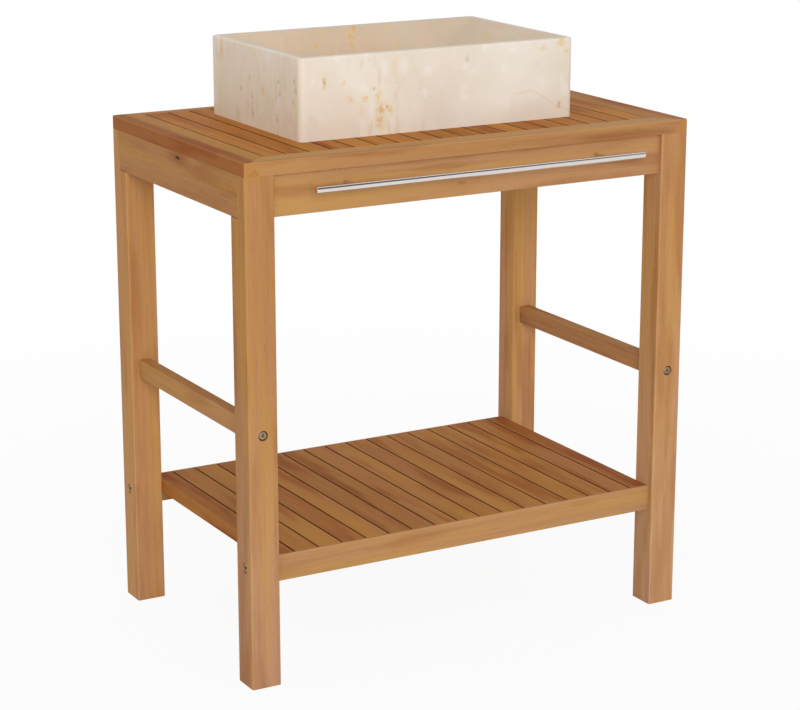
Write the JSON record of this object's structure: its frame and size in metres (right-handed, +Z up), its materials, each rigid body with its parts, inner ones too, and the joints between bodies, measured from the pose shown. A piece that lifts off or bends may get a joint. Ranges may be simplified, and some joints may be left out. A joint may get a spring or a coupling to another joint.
{
  "type": "vanity unit",
  "caption": "Open slatted hardwood washstand with square legs, a towel bar, a low slatted shelf and a rectangular stone vessel basin with a push plug.",
  "frame": {"origin": "on the floor, in the middle of the outline, which runs from the front of the towel bar to the backs of the legs", "axes": "+Z up, -Y towards the person who stands in front, +X to that person's right"},
  "size_m": [0.73, 0.4805, 0.878],
  "materials": {
    "teak": "oiled, satin",
    "beech": "plain, fluted dowel rod",
    "marble": "honed cream marble",
    "stainless": "brushed",
    "zinc_steel": "zinc plated",
    "chrome": "polished",
    "brass": "turned",
    "rubber": "moulded"
  },
  "bodies": {
    "stand": {"apron_back": "teak", "apron_front": "teak", "apron_left": "teak", "apron_right": "teak", "barrel_nuts": "zinc_steel", "basin": "marble", "frame_bolts": "zinc_steel", "frame_dowels": "beech", "lap_screws": "zinc_steel", "leg_back_left": "teak", "leg_back_right": "teak", "leg_front_left": "teak", "leg_front_right": "teak", "locating_dowels": "beech", "shelf_back_rail": "teak", "shelf_batten": "teak", "shelf_edge_slat_left": "teak", "shelf_edge_slat_right": "teak", "shelf_front_rail": "teak", "shelf_slats": "teak", "slat_screws": "zinc_steel", "stretcher_left": "teak", "stretcher_right": "teak", "top_back_rail": "teak", "top_batten_back": "teak", "top_batten_front": "teak", "top_edge_left": "teak", "top_edge_right": "teak", "top_front_rail": "teak", "top_slat_01": "teak", "top_slat_02": "teak", "top_slat_03": "teak", "top_slat_04": "teak", "top_slat_05": "teak", "top_slat_06": "teak", "top_slat_07": "teak", "top_slat_08": "teak", "top_slat_09": "teak", "top_slat_10": "teak", "top_slat_11": "teak", "top_slat_12": "teak", "top_slat_13": "teak", "top_slat_14": "teak", "top_slat_15": "teak", "top_slat_16": "teak", "top_slat_17": "teak", "top_slat_18": "teak", "towel_bar": "stainless", "towel_bar_posts": "stainless", "towel_bar_screws": "zinc_steel", "waste_body": "chrome", "waste_cartridge": "brass", "waste_nut": "brass", "waste_seals": "rubber"},
    "plug": {"waste_plug": "chrome", "plug_seal": "rubber"}
  },
  "joints": [
    {"name": "plug_lift", "type": "slide", "parent": "stand", "child": "plug", "axis": [0, 0, 1], "range_m": [0, 0.009]}
  ]
}
